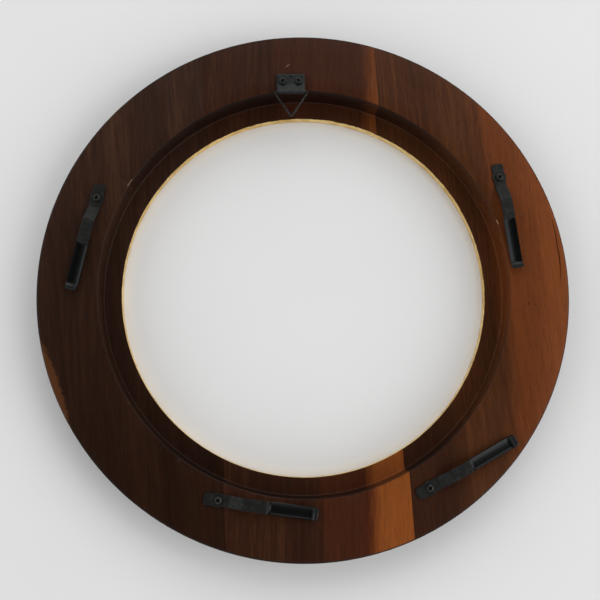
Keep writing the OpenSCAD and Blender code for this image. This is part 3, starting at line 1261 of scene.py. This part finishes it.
@dataclass
class Hanger:
    """The folded strap, its two screws and the triangular wire ring that swings in its barrel."""

    ring: WoodenRing
    wire_r: float = 0.6
    gap: float = 0.08
    steel_t: float = 0.75
    strap_w: float = 15.6
    strap_l: float = 10.1
    pitch: float = 8.8
    screw_y: float = 6.0
    inset: float = -0.5
    side_gap: float = 0.2
    ring_l: float = 13.5
    bend_r: float = 0.9
    droop: float = 6.0
    turn: float = -3.1
    dimple_r: float = 0.7
    dimple_h: float = 1.2
    dimple_inset: float = 1.5
    screw_depth: float = 9.0
    cross_turns: Sequence[float] = (15.0, 75.0)
    wire_sides: int = 20
    roll_end: float = -238.0
    # where the upper leaf leaves the barrel and where it lies down on the lower one
    leaf_slope: Point = (2.2, -0.62)
    leaf_down: float = 4.1
    leaf_gap: float = 0.02
    sheet_share: float = 0.97
    edge: float = 0.15
    longest: float = 1.2
    columns: int = 10

    @property
    def barrel_r(self) -> float:
        """Outer radius of the strap's barrel, in millimetres."""
        return self.wire_r + self.gap + self.steel_t

    @property
    def axis(self) -> Vector:
        """Middle of the barrel's axis, in millimetres."""
        return Vector((0, self.ring.recess_r + self.inset, self.ring.back_z + self.barrel_r))

    def strap_line(self) -> list[Point]:
        """Returns the folded strap's middle line: distance from the barrel's axis and height."""
        t = self.steel_t
        mid = self.barrel_r - t / 2
        low = [(self.strap_l, t / 2), (0.0, t / 2)]
        roll = arc((0, self.barrel_r), mid, -90, self.roll_end, 14)
        slope = (roll[-1][0] + self.leaf_slope[0], roll[-1][1] + self.leaf_slope[1])
        down = [slope, (self.leaf_down, 1.5 * t + self.leaf_gap), (self.strap_l, 1.5 * t)]
        return low + roll[1:] + down

    def build_strap(self) -> Piece:
        """Folds the strap round the wire's place and returns it."""
        line = finer(self.strap_line(), self.longest)
        piece = bend_sheet("hanger_strap_folded", line, self.strap_w, self.columns)
        thicken(piece, self.steel_t * self.sheet_share, self.edge)
        notch = Vector((self.strap_l - self.dimple_inset, 0, 2 * self.steel_t))
        cut(piece, pin_cutter(self.dimple_r, self.dimple_h, notch))
        smooth(piece, 35)
        place(piece, Vector((0, self.axis.y, self.ring.back_z)) * MM, 90 + self.turn)
        return piece

    def build_wire(self) -> Piece:
        """Bends the triangular wire ring by extruding and spinning a circle, and returns it."""
        corner = Vector((self.strap_w / 2 + self.side_gap, -self.bend_r))
        tip = Vector((0, -self.ring_l + self.bend_r))
        side = math.atan2(corner.y - tip.y, corner.x)
        clear_selection()
        bpy.ops.mesh.primitive_circle_add(vertices=self.wire_sides, radius=self.wire_r * MM,
                                          location=(0, 0, 0), rotation=(0, math.pi / 2, 0))
        piece = bpy.context.object
        piece.name = piece.data.name = "hanging_ring_wire"
        settle()
        edit(piece)
        pick_all()

        def straight(step: Vector) -> None:
            """Draws the wire on by a step in the ring's plane, in millimetres."""
            draw_edge(Vector((step.x, step.y, 0)) * MM)

        def bend(centre: Vector, angle: float) -> None:
            """Bends the wire clockwise round a centre by an angle."""
            middle = Vector((centre.x, centre.y, 0)) * MM
            bpy.ops.mesh.spin(steps=12, angle=angle, center=middle, axis=(0, 0, 1))

        straight(Vector((corner.x, 0)))
        bend(corner, math.pi - side)
        straight(tip - corner)
        bend(tip, 2 * side)
        far = Vector((-corner.x, corner.y))
        straight(far - tip)
        bend(far, math.pi - side)
        straight(Vector((corner.x, 0)))
        close_up(piece)
        smooth(piece, 60)
        take(piece)
        piece.rotation_euler = (math.radians(self.droop), 0, math.radians(self.turn))
        piece.location = self.axis * MM
        settle()
        return piece

    def build(self, screws: CrossScrew, strap_steel: DarkSteel, wire_steel: DarkSteel,
              screw_steel: DarkSteel) -> None:
        """Makes the hanger's pieces and hands them to the frame."""
        dress(self.build_strap(), strap_steel.build(), "ring_frame",
              ["hanger_strap"])
        dress(self.build_wire(), wire_steel.build(), "hanger_ring",
              ["hanger_ring"])
        head = screw_steel.build()
        top = self.ring.back_z + 2 * self.steel_t
        for sign, side, turn in zip((-1, 1), ("left", "right"), self.cross_turns):
            screw = screws.build(f"hanger_screw_{side}_cross", 2 * self.steel_t + self.screw_depth)
            spot = Vector((sign * self.pitch / 2, self.screw_y, 0))
            spot.rotate(Matrix.Rotation(math.radians(self.turn), 3, "Z"))
            place(screw, (spot + Vector((0, self.axis.y, top))) * MM, turn + self.turn)
            dress(screw, head, "ring_frame", [f"hanger_screw_{side}"])


# ---- studio ----


@dataclass
class Studio:
    """Camera, floor and soft light."""

    lens_mm: float = 48.674
    sensor_mm: float = 36.0
    camera_at: Sequence[float] = (-23.426, -69.792, 451.86)
    camera_turn: Sequence[float] = (8.5371, -2.0054, -4.26)
    floor_size: float = 6.0
    sky: str = "ffffff"
    ceiling: str = "30302f"
    sky_strength: float = 1.16
    # up to the first height the room is as bright as its sky, and from the second on as its ceiling
    sky_heights: Sequence[float] = (0.68, 0.95)
    # name, place and size in metres, watts
    lamps: Sequence[tuple[str, Sequence[float], float, float]] = (
        ("window", (1.5, -0.5, 1.3), 1.5, 14.0),
        ("top_window", (0.5, 1.4, 1.5), 1.5, 10.0),
        ("far_window", (-1.5, 0.6, 1.0), 1.2, 4.0))

    def build(self, floor: PaperFloor) -> None:
        """Sets up the camera, the floor, the world and the lights."""
        scene = bpy.context.scene
        scene.view_settings.view_transform = "Standard"
        clear_selection()
        bpy.ops.object.camera_add(location=Vector(self.camera_at) * MM,
                                  rotation=[math.radians(a) for a in self.camera_turn])
        camera = bpy.context.object
        camera.data.lens = self.lens_mm
        camera.data.sensor_width = self.sensor_mm
        camera.data.clip_start = 0.01
        scene.camera = camera
        bpy.ops.mesh.primitive_plane_add(size=self.floor_size, location=(0, 0, 0))
        ground = bpy.context.object
        ground.name = "floor"
        ground.data.materials.append(floor.build())
        world = bpy.data.worlds.new("soft_room")
        world.use_nodes = True
        tree = world.node_tree
        height = add(tree, "SeparateXYZ", {0: add(tree, "TexCoord").outputs["Generated"]})
        room = add(tree, "ValToRGB", {0: height.outputs[2]},
                   ((0.0, self.sky), (self.sky_heights[0], self.sky),
                    (self.sky_heights[1], self.ceiling)))
        background = tree.nodes["Background"]
        tree.links.new(room.outputs[0], background.inputs[0])
        background.inputs[1].default_value = self.sky_strength
        scene.world = world
        for name, at, size, watts in self.lamps:
            clear_selection()
            aim = -Vector(at)
            bpy.ops.object.light_add(type="AREA", location=at,
                                     rotation=aim.to_track_quat("-Z", "Y").to_euler())
            light = bpy.context.object
            light.name = name
            light.data.size = size
            light.data.energy = watts
        LOG.info("studio: camera, floor, room light and %d lamps", len(self.lamps))


# ---- everything together ----


def walnut_boards() -> dict[Board, StainedWalnut]:
    """Returns each board's own walnut: the tone, the lean of its grain and its marks, with painted
    shade and a painted sheen on the left board.
    """
    warm = Zone(-4.0, -0.03, 0.0, 1, "371a0d", 4.0, 0.75, 0.4)
    red_streak = Zone(31.0, 0.08, 0.0, 1, "34150a", 4.0, 0.8, 0.0)
    sapwood = Zone(35.8, 0.076, 0.0, 1, "683716", 4.5, 1.0, 0.45)
    amber = Zone(108.0, 0.0, -0.0006, 1, "4e2710", 7.0, 1.0, 1.0)
    honey = Zone(127.0, 0.0, -0.0006, 1, "5e3116", 7.0, 0.8, 0.8)
    # A darker band on the right board beside the joint, strongest at the ring's foot and gone at
    # its head.
    dark_right_foot = Zone(74.0, 0.0, 0.0, -1, "20100a", 9.0, 0.75, 0.0)
    # Painted shade: the whole left board darkens towards the ring's foot, standing in for the light
    # falling off there.
    painted_shade_left_foot = Zone(0.0, 0.0, 0.0, -1, "180b05", 1.0, 0.9, 0.0)
    middle = dict(dark="22110a", middle="2d180e", light="3e2415", lean=-5.0)
    dent = Blemish(-91.3, 64.2, 5.5, 0.9, 54.9, "6b5340", 0.8)
    scuff = Blemish(107.8, 29.3, 3.2, 0.6, 105.2, "9a7656", 0.9)
    scratch = Blemish(-0.7, 126.4, 3.2, 0.5, 35, "7d5c4c", 0.7)
    # Painted sheen: a long lighter streak on the left board's lower outside edge, standing in for
    # the lacquer's reflection.
    painted_edge_sheen = Blemish(-136.0, -43.0, 54.0, 8.0, 106, "55321a", 0.6)
    knot = Blemish(119.7, -17.1, 2.2, 0.9, 80, "1c0f0a", 0.7)
    return {
        Board.LEFT: StainedWalnut("stained_walnut_left_board", "20130d", "2d1c14", "3f281b", 1.5,
                                  (31, 7, 3), (painted_shade_left_foot,), (painted_edge_sheen, dent)),
        Board.TOP: StainedWalnut("stained_walnut_top_board", offset=(0, 0, 0),
                                 zones=(warm, red_streak, sapwood), blemishes=(scratch,), **middle),
        Board.RIGHT: StainedWalnut("stained_walnut_right_board", "2f180c", "3e2211", "4f2d17", 1.0,
                                   (-57, 3, 9), (dark_right_foot, amber, honey), (knot, scuff)),
        Board.BOTTOM: StainedWalnut("stained_walnut_bottom_board", offset=(0, 0, 0),
                                    zones=(warm, red_streak, sapwood), **middle),
    }


def main() -> None:
    """Builds the frame's sub-assemblies in order and reports each piece."""
    logging.basicConfig(level=logging.INFO, format="%(name)s: %(message)s")
    Studio().build(PaperFloor())
    ring = WoodenRing()
    ring.build()
    ring.dress(walnut_boards())
    gilding = SightGilding(ring)
    gilding.dress(gilding.build(), GoldPaint())
    screws = CrossScrew()
    screw_steel = DarkSteel("blackened_screw_steel", "20201f", "393835", 0.42)
    SpringClips(ring).build(screws, BlackSpringSteel(), screw_steel)
    Hanger(ring).build(screws, DarkSteel("blackened_strap_steel", "1c1e1e", "2b2d2e", 0.42),
                       DarkSteel("dark_wire_steel", "1d1d1b", "363532", 0.36),
                       DarkSteel("blackened_hanger_screw_steel", "1e1e1e", "343434", 0.4))
    LOG.info("sizes written")


if __name__ == "__main__":
    main()
